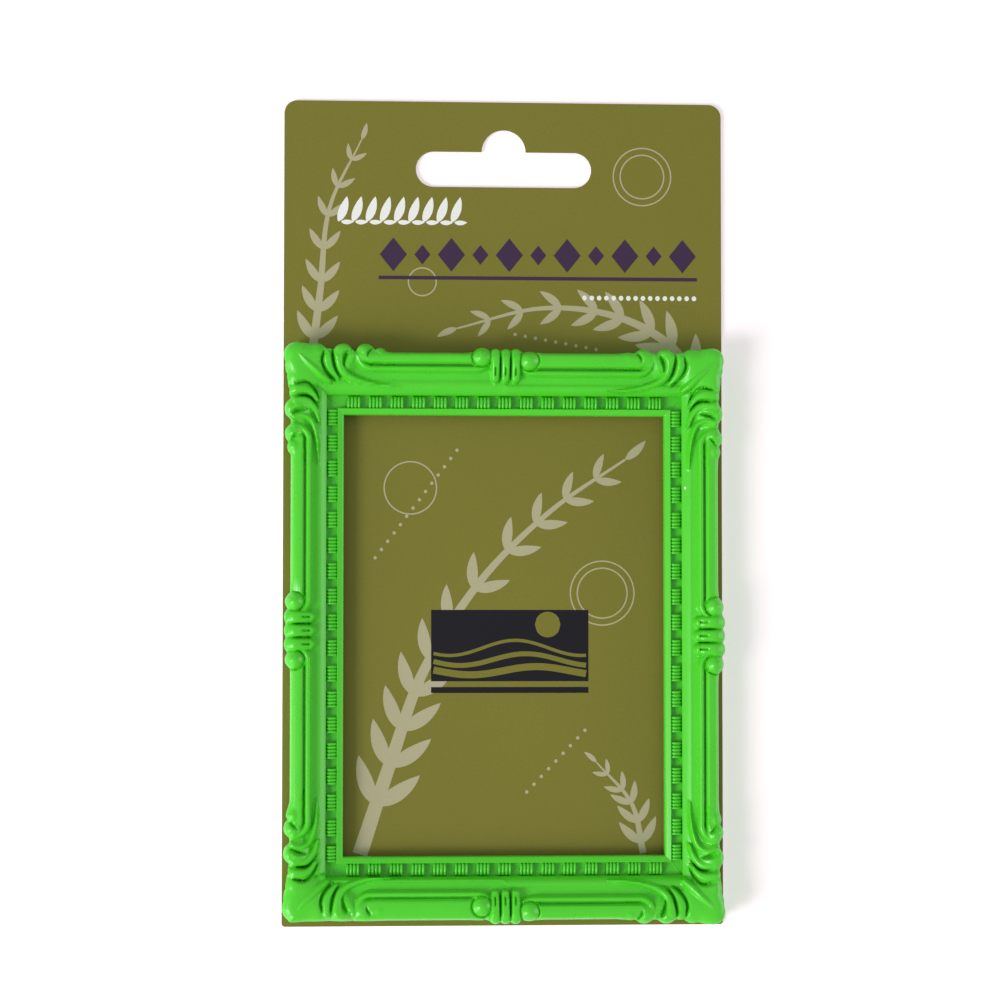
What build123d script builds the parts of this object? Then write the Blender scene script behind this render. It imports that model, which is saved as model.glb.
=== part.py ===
from build123d import *
import os

# Magnetic mini photo frame on its hanging card, lying on its back, in millimetres.
# X runs across the card, Y up the card and Z out of the picture.
# The origin is at the middle of the card, on its back.

# Hanging card
CARD_SIDE_MARGIN = 1.35
CARD_FOOT_MARGIN = 1.5
HEADER_HEIGHT = 43.9
CARD_THICK = 0.5
CARD_TOP_RADIUS = 2.2
CARD_BOTTOM_RADIUS = 0.6
SLOT_LENGTH = 30.3
SLOT_HEIGHT = 6.1
SLOT_BELOW_TOP = 11.7
SLOT_PEG_RADIUS = 3.8

# Adhesive pads between the card and the frame
PAD_THICK = 0.4
PAD_WIDTH = 5.6
END_PAD_LENGTH = 24.0
SIDE_PAD_LENGTH = 30.0

# Sight window
WINDOW_WIDTH = 54.8
WINDOW_HEIGHT = 75.0

# Widths of the moulding's members, from the window outwards
LIP_WIDTH = 1.1
COURSE_WIDTH = 1.85
END_OVOLO_WIDTH = 2.6
END_COVE_WIDTH = 1.7
SIDE_OVOLO_WIDTH = 1.45
SIDE_COVE_WIDTH = 1.35
BEAD_WIDTH = 1.0
GROOVE_WIDTH = 0.3
BAND_WIDTH = 1.95

# Heights of the members above the back of the frame, and the bows of their faces
LIP_HEIGHT = 3.0
LIP_ROUND = 0.45
COURSE_HEIGHT = 2.3
STEP_HEIGHT = 3.5
CREASE_HEIGHT = 4.5
VALLEY_HEIGHT = 5.4
GROOVE_FLOOR = 4.9
BAND_INNER_HEIGHT = 5.6
BAND_OUTER_HEIGHT = 4.4
OVOLO_BOW = 0.35
COVE_BOW = -0.3
BEAD_BOW = 0.42
BAND_BOW = 0.62

# Reeded blocks that stand in the course next to the lip
END_BLOCKS = 15
END_REEDS = 4
END_COURSE_OVERRUN = 0.2
SIDE_BLOCKS = 18
SIDE_REEDS = 5
SIDE_COURSE_OVERRUN = 1.65
REED_PITCH = 0.58
REED_VALLEY = 0.15
REED_HEIGHT = 0.6
REED_LIP_GAP = 0.25

# Ornament: flat grounds with lobed outlines, heads on the lobes and tapered ridges; lobes and flutes
# have flat facets
LOBE_SIDES = 16
FLUTE_SIDES = 12
GROUND_HEIGHT = 6.0
GROUND_WIDTH = 3.4
LOBE_HEIGHT = 6.9
LOBE_MARGIN = 0.1
HEAD_SINK = 0.2
HEAD_TAPER = 30.0
RIDGE_DEPTH = 2.0
RIDGE_TAPER = 10.0

# Lobes of a corner: place along the edge and in from the edge, measured from the outer corner of
# the rails, and radius
TIP_LOBE = (0.75, 0.75, 1.95)
TIP_HEIGHT = 7.4
END_LOBES = {"petal": (4.4, 0.3, 1.6), "frond": (6.5, 0.5, 0.95), "scroll": (8.9, 0.4, 1.8),
             "hook": (12.8, 0.4, 1.75), "stop": (14.5, 0.4, 1.1)}
SIDE_LOBES = {"petal": (4.2, 0.5, 1.5), "frond": (6.7, 0.5, 0.95), "scroll": (9.5, 0.5, 1.7),
              "hook": (13.7, 0.4, 1.6), "stop": (16.1, 0.3, 1.1)}

# Ridges of a corner: place and height of the outer end, the same of the inner end, and how far
# each of the two arcs between them stands off the straight line
RIB = ((0.9, 0.9, 7.3), (6.4, 5.7, 5.3), (1.5, -1.5))
END_RIDGES = {
    "frond": ((5.9, 0.2, 6.6), (7.8, 4.7, 5.6), (1.2, 0.1)),
    "scroll": ((7.5, 0.4, 6.6), (13.6, 5.9, 5.0), (2.1, 0.9)),
    "hook": ((12.0, 0.5, 6.6), (15.0, 2.8, 5.9), (1.4, 0.2)),
}
SIDE_RIDGES = {
    "frond": ((6.2, 0.5, 6.6), (7.9, 4.8, 5.6), (1.2, 0.1)),
    "scroll": ((8.4, 0.5, 6.6), (15.8, 4.8, 5.1), (2.2, 1.0)),
    "hook": ((13.4, 0.5, 6.6), (16.4, 2.8, 5.9), (1.4, 0.2)),
}

# Fluted shell with a ball at each side, at the middle of each rail
END_FLUTE_PITCH = 1.65
END_FLUTE_RADIUS = 0.85
END_FLUTE_REACH = 5.4
END_BALL_PLACE = 4.0
SIDE_FLUTE_PITCH = 2.15
SIDE_FLUTE_RADIUS = 1.05
SIDE_FLUTE_REACH = 4.3
SIDE_BALL_PLACE = 4.8
FLUTES = 3
FLUTE_OVERHANG = 0.1
FLUTE_OUTER_HEIGHT = 6.8
FLUTE_INNER_HEIGHT = 5.5
BALL_RADIUS = 1.8
BALL_INSET = 0.75
SHELL_MARGIN = 1.2

# Back of the frame: photo rebate, hollow rails with cross ribs, and magnet sockets
PHOTO_OVERLAP = 2.6
PHOTO_CLEARANCE = 0.2
REBATE_DEPTH = 0.9
WALL_THICK = 1.4
INNER_WALL_THICK = 1.2
HOLLOW_INNER_HEIGHT = 2.6
HOLLOW_OUTER_HEIGHT = 4.2
CROSS_RIB_THICK = 1.2
END_HOLLOWS = 3
SIDE_HOLLOWS = 4
MAGNET_RADIUS = 3.0
MAGNET_THICK = 3.0
MAGNET_EDGE_CHAMFER = 0.25
SOCKET_CLEARANCE = 0.05
SOCKET_WALL = 0.85

# Places worked out from the sizes above
FRAME_BACK = CARD_THICK + PAD_THICK
SOCKET_RADIUS = MAGNET_RADIUS + SOCKET_CLEARANCE
REBATE_WIDTH = PHOTO_OVERLAP + PHOTO_CLEARANCE
HALF_WINDOW = Vector(WINDOW_WIDTH / 2, WINDOW_HEIGHT / 2)


def member_edges(ovolo_width, cove_width):
    """Distance from the window to the outer edge of each member of a rail."""
    widths = (LIP_WIDTH, COURSE_WIDTH, ovolo_width, cove_width, BEAD_WIDTH, GROOVE_WIDTH, BAND_WIDTH)
    return [sum(widths[:count + 1]) for count in range(len(widths))]


END_EDGES = member_edges(END_OVOLO_WIDTH, END_COVE_WIDTH)
SIDE_EDGES = member_edges(SIDE_OVOLO_WIDTH, SIDE_COVE_WIDTH)
RAIL_CORNER = HALF_WINDOW + Vector(SIDE_EDGES[-1], END_EDGES[-1])
END_STOP = END_BALL_PLACE + BALL_RADIUS + SHELL_MARGIN
SIDE_STOP = SIDE_BALL_PLACE + BALL_RADIUS + SHELL_MARGIN
MAGNET_PLACE = RAIL_CORNER - Vector(SOCKET_RADIUS + SOCKET_WALL, SOCKET_RADIUS + SOCKET_WALL)
CARD_WIDTH = 2 * (RAIL_CORNER.X + CARD_SIDE_MARGIN)
CARD_HEIGHT = CARD_FOOT_MARGIN + 2 * RAIL_CORNER.Y + HEADER_HEIGHT
FRAME_BELOW_CENTRE = CARD_HEIGHT / 2 - CARD_FOOT_MARGIN - RAIL_CORNER.Y


def bowed(start, end, rise):
    """Arc whose middle stands above the straight line between its ends."""
    start = Vector(*start)
    end = Vector(*end)
    across = (end - start).rotate(Axis.Z, 90).normalized()
    return ThreePointArc(start, (start + end) * 0.5 + across * rise, end)


def rail_section(edges):
    """Section of a rail: X outwards from the window, Y up from the back."""
    lip, course, ovolo, cove, bead, groove, band = edges
    path = [
        Line((0, 0), (0, LIP_HEIGHT - LIP_ROUND)),
        RadiusArc((0, LIP_HEIGHT - LIP_ROUND), (LIP_ROUND, LIP_HEIGHT), LIP_ROUND),
        Polyline((LIP_ROUND, LIP_HEIGHT), (lip, LIP_HEIGHT), (lip, COURSE_HEIGHT),
                 (course, COURSE_HEIGHT), (course, STEP_HEIGHT)),
        bowed((course, STEP_HEIGHT), (ovolo, CREASE_HEIGHT), OVOLO_BOW),
        bowed((ovolo, CREASE_HEIGHT), (cove, VALLEY_HEIGHT), COVE_BOW),
        bowed((cove, VALLEY_HEIGHT), (bead, VALLEY_HEIGHT), BEAD_BOW),
        Polyline((bead, VALLEY_HEIGHT), (bead, GROOVE_FLOOR), (groove, GROOVE_FLOOR),
                 (groove, BAND_INNER_HEIGHT)),
        bowed((groove, BAND_INNER_HEIGHT), (band, BAND_OUTER_HEIGHT), BAND_BOW),
        Polyline((band, BAND_OUTER_HEIGHT), (band, 0), (0, 0)),
    ]
    return make_face(Curve() + path)


def mitre_points():
    """Plan of the mitre at the upper right corner, from the window to the outer corner."""
    stops = [(0, 0)] + [(SIDE_EDGES[stop], END_EDGES[stop]) for stop in (1, 3, 6)]
    return [HALF_WINDOW + Vector(*stop) for stop in stops]


def end_plane():
    """Section plane of the top rail."""
    return Plane(origin=(0, HALF_WINDOW.Y, 0), x_dir=(0, 1, 0), z_dir=(1, 0, 0))


def side_plane():
    """Section plane of the right rail."""
    return Plane(origin=(HALF_WINDOW.X, 0, 0), x_dir=(1, 0, 0), z_dir=(0, -1, 0))


def corner_rail(edges, plane, stop):
    """Rail of the upper right corner, from the mitre to the straight cut through the stop."""
    mitre = mitre_points()
    along = Vector(abs(plane.z_dir.X), abs(plane.z_dir.Y))
    cut = [point + along * (stop - point.dot(along)) for point in (mitre[-1], mitre[0])]
    plan = make_face(Polyline(*mitre, *cut, close=True))
    bar = extrude(plane * rail_section(edges), RAIL_CORNER.Y, both=True)
    return bar & extrude(plan, TIP_HEIGHT)


def reeds(edges, plane, blocks, reeds_each, course_length):
    """Reeded blocks of one rail: sharp ridges that cross the course."""
    lip, course = edges[:2]
    crests = [((2 * reed + 1) * REED_PITCH / 2, REED_HEIGHT) for reed in range(reeds_each)]
    valleys = [(reed * REED_PITCH, REED_VALLEY) for reed in range(1, reeds_each)]
    width = reeds_each * REED_PITCH
    section = make_face(Polyline((0, 0), *sorted(crests + valleys), (width, 0), close=True))
    start = Plane(origin=plane.from_local_coords(Vector(lip + REED_LIP_GAP, COURSE_HEIGHT, 0)),
                  x_dir=plane.z_dir, z_dir=plane.z_dir.cross(Vector(0, 0, 1)))
    reach = course - lip
    block = extrude(start * Pos(-width / 2, 0) * section, reach, dir=plane.x_dir)
    pitch = course_length / blocks
    return [Pos(plane.z_dir * (place - (blocks - 1) / 2) * pitch) * block for place in range(blocks)]


def along_end(along, inset, height=0):
    """Point measured from the upper right corner along the top edge."""
    return Vector(RAIL_CORNER.X - along, RAIL_CORNER.Y - inset, height)


def along_side(along, inset, height=0):
    """Point measured from the upper right corner down the right edge."""
    return Vector(RAIL_CORNER.X - inset, RAIL_CORNER.Y - along, height)


def round_plan(place, radius):
    """Plan of a lobe."""
    return Pos(place.X, place.Y) * RegularPolygon(radius, LOBE_SIDES)


def head(place, radius, height):
    """Tapered head of a lobe; its foot is sunk in the ground and a little smaller than the lobe."""
    foot = GROUND_HEIGHT - HEAD_SINK
    plan = Pos(0, 0, foot) * round_plan(place, radius - LOBE_MARGIN)
    return extrude(plan, height - foot, taper=HEAD_TAPER)


def sloped(outer, inner):
    """Plane through two points, level across the line between them."""
    span = inner - outer
    return Plane(origin=outer, x_dir=span, z_dir=span.cross(Vector(0, 0, 1).cross(span)))


def raised(top, plan):
    """Tapered body whose highest face lies in the plane; its foot is sunk in the moulding."""
    return extrude(top.offset(-RIDGE_DEPTH) * plan, RIDGE_DEPTH, taper=RIDGE_TAPER)


def ridge(to_frame, outer, inner, bulges):
    """Ridge between two arcs that meet at its ends; its top slopes down to the inner end."""
    top = sloped(to_frame(*outer), to_frame(*inner))
    chord = Vector(*inner) - Vector(*outer)
    across = Vector(-chord.Y, chord.X).normalized()
    middle = (Vector(*outer) + Vector(*inner)) * 0.5
    sides = [top.to_local_coords(to_frame(*(middle + across * bulge))) for bulge in bulges]
    right, left = sorted((side.Y, side.X) for side in sides)
    end = (chord.length, 0)
    path = [
        ThreePointArc((0, 0), right[::-1], end),
        ThreePointArc(end, left[::-1], (0, 0)),
    ]
    return raised(top, make_face(Curve() + path))


def corner_leaf():
    """Leaf and scrolls of the upper right corner."""
    tip = along_end(*TIP_LOBE[:2])
    plans = [round_plan(tip, TIP_LOBE[2])]
    solids = [head(tip, TIP_LOBE[2], TIP_HEIGHT), ridge(along_end, *RIB)]
    halves = ((along_end, END_LOBES, END_RIDGES), (along_side, SIDE_LOBES, SIDE_RIDGES))
    for to_frame, lobes, ridges in halves:
        for along, inset, radius in lobes.values():
            plans.append(round_plan(to_frame(along, inset), radius))
        for name in ("scroll", "hook"):
            along, inset, radius = lobes[name]
            solids.append(head(to_frame(along, inset), radius, LOBE_HEIGHT))
        solids += [ridge(to_frame, *points) for points in ridges.values()]
        reach = RAIL_CORNER - to_frame(lobes["hook"][0], GROUND_WIDTH)
        plans.append(Pos(*(RAIL_CORNER - reach * 0.5)) * Rectangle(reach.X, reach.Y))
    ground = extrude(Sketch() + plans, GROUND_HEIGHT)
    return [ground] + solids


def shell(plane, edge, pitch, radius, reach, ball_place):
    """Fluted shell at the middle of a rail; edge is the rail's outer edge from the window."""
    middle = plane.from_local_coords(Vector(edge - GROUND_WIDTH / 2, 0, 0))
    along = 2 * ball_place * plane.z_dir + GROUND_WIDTH * plane.x_dir
    plans = [Pos(middle.X, middle.Y) * Rectangle(abs(along.X), abs(along.Y))]
    solids = []
    for flute in range(FLUTES):
        place = (flute - (FLUTES - 1) / 2) * pitch
        outer = plane.from_local_coords(Vector(edge, FLUTE_OUTER_HEIGHT - radius, place))
        inner = plane.from_local_coords(Vector(edge - reach, FLUTE_INNER_HEIGHT - radius, place))
        plans.append(round_plan(outer, FLUTE_OVERHANG + radius))
        section = Plane(origin=outer, z_dir=inner - outer) * RegularPolygon(radius, FLUTE_SIDES)
        solids.append(extrude(section, (inner - outer).length))
    for side in (-1, 1):
        ball = plane.from_local_coords(Vector(edge - BALL_INSET, 0, side * ball_place))
        plans.append(round_plan(ball, BALL_RADIUS))
        solids.append(head(ball, BALL_RADIUS, LOBE_HEIGHT))
    return [extrude(Sketch() + plans, GROUND_HEIGHT)] + solids


def hollows(edges, plane, count, half_length):
    """Pockets in the back of one rail, with a rib between each two."""
    inner = REBATE_WIDTH + INNER_WALL_THICK
    outer = edges[-1] - WALL_THICK
    section = make_face(Polyline((inner, 0), (inner, HOLLOW_INNER_HEIGHT), (outer, HOLLOW_OUTER_HEIGHT),
                                 (outer, 0), close=True))
    pitch = 2 * half_length / count
    pocket = extrude(plane * section, (pitch - CROSS_RIB_THICK) / 2, both=True)
    return [Pos(plane.z_dir * (place - (count - 1) / 2) * pitch) * pocket for place in range(count)]


def four_ways(place):
    """The four mirror images of a place, with the name of each corner."""
    return {
        "top_left": (-place.X, place.Y),
        "top_right": (place.X, place.Y),
        "bottom_left": (-place.X, -place.Y),
        "bottom_right": (place.X, -place.Y),
    }


def joined(solids):
    """One solid from all of them, added one at a time."""
    whole = solids[0]
    for solid in solids[1:]:
        whole = whole.fuse(solid)
    return whole


def end_reeds():
    """Reeds of the top rail."""
    return reeds(END_EDGES, end_plane(), END_BLOCKS, END_REEDS, WINDOW_WIDTH + 2 * END_COURSE_OVERRUN)


def side_reeds():
    """Reeds of the right rail."""
    return reeds(SIDE_EDGES, side_plane(), SIDE_BLOCKS, SIDE_REEDS, WINDOW_HEIGHT + 2 * SIDE_COURSE_OVERRUN)


def corner():
    """Upper right corner of the moulding, up to the shells at the middles of its rails."""
    rails = corner_rail(END_EDGES, end_plane(), END_STOP) + corner_rail(SIDE_EDGES, side_plane(), SIDE_STOP)
    bars = [bar for bar in end_reeds() if bar.center().X > END_STOP]
    bars += [bar for bar in side_reeds() if bar.center().Y > SIDE_STOP]
    return joined([rails] + corner_leaf()).fuse(*bars)


def end_middle():
    """Middle of the top rail, with its shell."""
    bar = extrude(end_plane() * rail_section(END_EDGES), END_STOP, both=True)
    ornament = shell(end_plane(), END_EDGES[-1], END_FLUTE_PITCH, END_FLUTE_RADIUS, END_FLUTE_REACH,
                     END_BALL_PLACE)
    return joined([bar] + ornament).fuse(*[bar for bar in end_reeds() if abs(bar.center().X) < END_STOP])


def side_middle():
    """Middle of the right rail, with its shell."""
    bar = extrude(side_plane() * rail_section(SIDE_EDGES), SIDE_STOP, both=True)
    ornament = shell(side_plane(), SIDE_EDGES[-1], SIDE_FLUTE_PITCH, SIDE_FLUTE_RADIUS, SIDE_FLUTE_REACH,
                     SIDE_BALL_PLACE)
    return joined([bar] + ornament).fuse(*[bar for bar in side_reeds() if abs(bar.center().Y) < SIDE_STOP])


def frame_moulding():
    """The whole moulding, with its back at Z = 0 and its window centred on the origin."""
    upper_right = corner()
    top = end_middle()
    right = side_middle()
    upper_left = mirror(upper_right, about=Plane.YZ)
    pieces = [upper_right, upper_left]
    pieces += [mirror(piece, about=Plane.XZ) for piece in (upper_right, upper_left, top)]
    pieces += [right, mirror(right, about=Plane.YZ)]
    body = top.fuse(*pieces)
    socket_reach = SOCKET_RADIUS + SOCKET_WALL
    end_hollows = hollows(END_EDGES, end_plane(), END_HOLLOWS, MAGNET_PLACE.X - socket_reach)
    side_hollows = hollows(SIDE_EDGES, side_plane(), SIDE_HOLLOWS, MAGNET_PLACE.Y - socket_reach)
    cuts = end_hollows + [mirror(hollow, about=Plane.XZ) for hollow in end_hollows]
    cuts += side_hollows + [mirror(hollow, about=Plane.YZ) for hollow in side_hollows]
    up = (Align.CENTER, Align.CENTER, Align.MIN)
    rebate = 2 * (HALF_WINDOW + Vector(REBATE_WIDTH, REBATE_WIDTH))
    cuts.append(Box(rebate.X, rebate.Y, REBATE_DEPTH, align=up))
    for x, y in four_ways(MAGNET_PLACE).values():
        cuts.append(Pos(x, y, 0) * Cylinder(SOCKET_RADIUS, MAGNET_THICK, align=up))
    return body.cut(*cuts)


def magnet():
    """Disc magnet with eased edges, standing on Z = 0."""
    disc = Cylinder(MAGNET_RADIUS, MAGNET_THICK, align=(Align.CENTER, Align.CENTER, Align.MIN))
    return chamfer(disc.edges().filter_by(GeomType.CIRCLE), MAGNET_EDGE_CHAMFER)


def pad_places():
    """Plan size and place of each pad, centred on the back of its rail."""
    end_y = HALF_WINDOW.Y + (REBATE_WIDTH + END_EDGES[-1]) / 2
    side_x = HALF_WINDOW.X + (REBATE_WIDTH + SIDE_EDGES[-1]) / 2
    return {
        "pad_top": (0, end_y, END_PAD_LENGTH, PAD_WIDTH),
        "pad_bottom": (0, -end_y, END_PAD_LENGTH, PAD_WIDTH),
        "pad_left": (-side_x, 0, PAD_WIDTH, SIDE_PAD_LENGTH),
        "pad_right": (side_x, 0, PAD_WIDTH, SIDE_PAD_LENGTH),
    }


def header_card():
    """Card with rounded corners and a hanging slot with a round rise for a single peg."""
    sheet = Rectangle(CARD_WIDTH, CARD_HEIGHT)
    top_corners = sheet.vertices().group_by(Axis.Y)[-1]
    sheet = fillet(top_corners, CARD_TOP_RADIUS)
    bottom_corners = sheet.vertices().group_by(Axis.Y)[0]
    sheet = fillet(bottom_corners, CARD_BOTTOM_RADIUS)
    slot_y = CARD_HEIGHT / 2 - SLOT_BELOW_TOP
    sheet -= Pos(0, slot_y) * SlotOverall(SLOT_LENGTH, SLOT_HEIGHT)
    sheet -= Pos(0, slot_y + SLOT_HEIGHT / 2) * Circle(SLOT_PEG_RADIUS)
    return extrude(sheet, CARD_THICK)


def write(solid, name):
    """Write one piece under its node's name."""
    export_step(solid, f"parts/{name}.step")
    print(f"{name}: {len(solid.solids())} solid, {solid.volume:.1f} mm3")


os.makedirs("parts", exist_ok=True)
on_card = Pos(0, -FRAME_BELOW_CENTRE, 0)
write(header_card(), "header_card")
for pad_name, (pad_x, pad_y, pad_size_x, pad_size_y) in pad_places().items():
    strip = Box(pad_size_x, pad_size_y, PAD_THICK, align=(Align.CENTER, Align.CENTER, Align.MIN))
    write(on_card * Pos(pad_x, pad_y, CARD_THICK) * strip, pad_name)
on_pads = on_card * Pos(0, 0, FRAME_BACK)
write(on_pads * frame_moulding(), "frame_moulding")
for corner, (magnet_x, magnet_y) in four_ways(MAGNET_PLACE).items():
    write(on_pads * Pos(magnet_x, magnet_y, 0) * magnet(), f"magnet_{corner}")
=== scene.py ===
# %% [markdown]
# # A green magnetic photo frame on its hanging card
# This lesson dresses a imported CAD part: a small baroque frame of glossy green plastic that lies on
# the printed card it is sold on. The solids give the places and the sizes; Blender adds the carved
# relief, the finishes, the print on the card, the light and the camera.

from math import cos, pi, radians, sin

import bmesh
import bpy
import numpy as np
from mathutils import Matrix, Vector


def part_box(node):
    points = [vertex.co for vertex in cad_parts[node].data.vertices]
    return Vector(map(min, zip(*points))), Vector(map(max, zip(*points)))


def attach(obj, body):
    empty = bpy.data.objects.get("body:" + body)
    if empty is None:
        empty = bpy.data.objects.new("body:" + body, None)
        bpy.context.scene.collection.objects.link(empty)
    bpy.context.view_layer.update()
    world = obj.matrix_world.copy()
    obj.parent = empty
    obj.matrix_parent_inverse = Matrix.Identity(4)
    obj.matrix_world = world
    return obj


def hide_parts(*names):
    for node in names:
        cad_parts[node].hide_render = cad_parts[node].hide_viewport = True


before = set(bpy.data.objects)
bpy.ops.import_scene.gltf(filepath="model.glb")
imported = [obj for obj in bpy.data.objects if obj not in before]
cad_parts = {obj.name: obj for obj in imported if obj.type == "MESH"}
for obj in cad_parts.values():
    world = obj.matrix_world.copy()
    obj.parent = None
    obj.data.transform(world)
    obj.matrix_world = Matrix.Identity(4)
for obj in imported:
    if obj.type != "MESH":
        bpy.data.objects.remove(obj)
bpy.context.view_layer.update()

# %% [markdown]
# ## Units and places
# Blender works in metres and the frame was measured in millimetres, so every size below is in
# millimetres and one factor turns it into metres. The places come from the boxes of the solids:
# the middle and the back of the frame, and the front of the card.

# %% Places of the frame and the card
MM = 0.001


def box_mm(node):
    """Lowest and highest corner of a node, in millimetres."""
    low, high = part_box(node)
    return np.array(low) / MM, np.array(high) / MM


frame_low, frame_high = box_mm("frame_moulding")
card_low, card_high = box_mm("header_card")
MIDDLE_X, MIDDLE_Y = (frame_low[:2] + frame_high[:2]) / 2
BACK_Z = frame_low[2]
CARD_FRONT = card_high[2]
print("frame back at", round(BACK_Z, 2), "mm, card front at", round(CARD_FRONT, 2), "mm")

# %% [markdown]
# ## Camera
# The photograph was taken from above with a long lens, a little to the left of the middle and a
# little below it. A camera fitted to the corners of the card and the window gives the place and
# the three small turns; the order ZYX applies them as they were fitted.

# %% Camera
CAMERA_PLACE = (-30.04, -18.72, 480.0)
CAMERA_TURNS = (2.47, -3.51, 0.17)
LENS = 100.8
camera = bpy.data.objects.new("camera", bpy.data.cameras.new("camera"))
camera.data.lens = LENS
camera.data.sensor_width = 36.0
camera.location = Vector(CAMERA_PLACE) * MM
camera.rotation_mode = "ZYX"
camera.rotation_euler = [radians(turn) for turn in CAMERA_TURNS]
bpy.context.scene.collection.objects.link(camera)
bpy.context.scene.camera = camera
print("camera at", [round(value, 3) for value in camera.location])

# %% [markdown]
# ## Node helpers
# A material is a small graph of nodes. A few helpers keep the graphs short: one adds a node and sets
# its values, one joins two nodes, and two drive the roughness and the bump that most finishes need.
# Colours are written as screen values from 0 to 255 and turned into the linear values that the
# shader works with.

# %% Helpers for node graphs


def linear(red, green, blue):
    """Linear colour with alpha from screen values."""
    shares = [value / 255 for value in (red, green, blue)]
    return [s / 12.92 if s <= 0.04045 else ((s + 0.055) / 1.055) ** 2.4 for s in shares] + [1.0]


def add_node(tree, kind, inputs=None, **settings):
    """New node with its settings and unlinked input values."""
    node = tree.nodes.new(kind)
    for name, value in settings.items():
        setattr(node, name, value)
    for name, value in (inputs or {}).items():
        node.inputs[name].default_value = value
    return node


def join(tree, source, output, target, entry):
    """Link from an output of one node to an input of another."""
    tree.links.new(source.outputs[output], target.inputs[entry])


def new_material(name):
    """Material with an empty graph that holds a principled shader and an output."""
    material = bpy.data.materials.new(name)
    material.use_nodes = True
    tree = material.node_tree
    tree.nodes.clear()
    shader = add_node(tree, "ShaderNodeBsdfPrincipled")
    output = add_node(tree, "ShaderNodeOutputMaterial")
    join(tree, shader, "BSDF", output, "Surface")
    return material, tree, shader


def new_group(name, inputs, outputs):
    """Shader node group with named sockets; gives the tree and its two end nodes."""
    group = bpy.data.node_groups.new(name, "ShaderNodeTree")
    for socket, value in inputs.items():
        kind = "NodeSocketColor" if isinstance(value, list) else "NodeSocketFloat"
        made = group.interface.new_socket(socket, in_out="INPUT", socket_type=kind)
        made.default_value = value
    for socket, kind in outputs.items():
        group.interface.new_socket(socket, in_out="OUTPUT", socket_type=kind)
    return group, group.nodes.new("NodeGroupInput"), group.nodes.new("NodeGroupOutput")


def vary_roughness(tree, shader, tone, low, high):
    """Roughness that wanders between two values with the mottle."""
    span = add_node(tree, "ShaderNodeMapRange", {"To Min": low, "To Max": high})
    join(tree, tone, "Value", span, "Value")
    join(tree, span, "Result", shader, "Roughness")


def add_bump(tree, shader, source, output, strength, distance):
    """Fine relief from an output of a node."""
    bump = add_node(tree, "ShaderNodeBump", {"Strength": strength, "Distance": distance})
    join(tree, source, output, bump, "Height")
    join(tree, bump, "Normal", shader, "Normal")


print("node helpers ready")

# %% [markdown]
# ## Shared effects
# Two effects come back on several finishes. A mottle mixes two colours by a soft cloud and a fine
# grain, because no moulded or printed surface is one flat colour. Specks are the few grains of dust
# that lie on anything photographed from close by: the cells of a Voronoi pattern, of which only the
# middles of a few are kept.

# %% Mottle and specks
mottle, ends_in, ends_out = new_group(
    "mottle",
    {"Dark": linear(90, 90, 90), "Light": linear(160, 160, 160), "Cloud Scale": 60.0,
     "Grain Scale": 4000.0, "Grain Share": 0.3},
    {"Color": "NodeSocketColor", "Value": "NodeSocketFloat"})
where = add_node(mottle, "ShaderNodeTexCoord")
cloud = add_node(mottle, "ShaderNodeTexNoise", {"Detail": 3.0})
grain = add_node(mottle, "ShaderNodeTexNoise", {"Detail": 2.0})
both = add_node(mottle, "ShaderNodeMix", data_type="FLOAT")
colours = add_node(mottle, "ShaderNodeMix", data_type="RGBA")
for noise, scale in ((cloud, "Cloud Scale"), (grain, "Grain Scale")):
    join(mottle, where, "Object", noise, "Vector")
    join(mottle, ends_in, scale, noise, "Scale")
join(mottle, ends_in, "Grain Share", both, "Factor")
join(mottle, cloud, "Fac", both, "A")
join(mottle, grain, "Fac", both, "B")
join(mottle, both, "Result", colours, "Factor")
join(mottle, ends_in, "Dark", colours, "A")
join(mottle, ends_in, "Light", colours, "B")
join(mottle, colours, "Result", ends_out, "Color")
join(mottle, both, "Result", ends_out, "Value")

specks, ends_in, ends_out = new_group(
    "specks", {"Scale": 300.0, "Size": 0.1, "Share": 0.05}, {"Mask": "NodeSocketFloat"})
where = add_node(specks, "ShaderNodeTexCoord")
cells = add_node(specks, "ShaderNodeTexVoronoi", {"Randomness": 1.0})
near = add_node(specks, "ShaderNodeMath", operation="LESS_THAN")
picked = add_node(specks, "ShaderNodeMath", operation="LESS_THAN")
kept = add_node(specks, "ShaderNodeMath", operation="MULTIPLY")
shade = add_node(specks, "ShaderNodeSeparateColor")
join(specks, where, "Object", cells, "Vector")
join(specks, ends_in, "Scale", cells, "Scale")
join(specks, cells, "Distance", near, 0)
join(specks, ends_in, "Size", near, 1)
join(specks, cells, "Color", shade, "Color")
join(specks, shade, "Red", picked, 0)
join(specks, ends_in, "Share", picked, 1)
join(specks, near, 0, kept, 0)
join(specks, picked, 0, kept, 1)
join(specks, kept, 0, ends_out, "Mask")


def add_mottle(tree, dark, light, cloud, grain, share):
    """The mottle in a material, with its own colours and scales."""
    inputs = {"Dark": dark, "Light": light, "Cloud Scale": cloud, "Grain Scale": grain, "Grain Share": share}
    return add_node(tree, "ShaderNodeGroup", inputs, node_tree=mottle)


def add_specks(tree, shader, tone, colour, scale, size, share):
    """Base colour from the mottle, with specks of another colour on it."""
    mask = add_node(tree, "ShaderNodeGroup", {"Scale": scale, "Size": size, "Share": share}, node_tree=specks)
    speckled = add_node(tree, "ShaderNodeMix", {"B": colour}, data_type="RGBA")
    join(tree, tone, "Color", speckled, "A")
    join(tree, mask, "Mask", speckled, "Factor")
    join(tree, speckled, "Result", shader, "Base Color")


print("groups:", mottle.name, specks.name)

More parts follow.
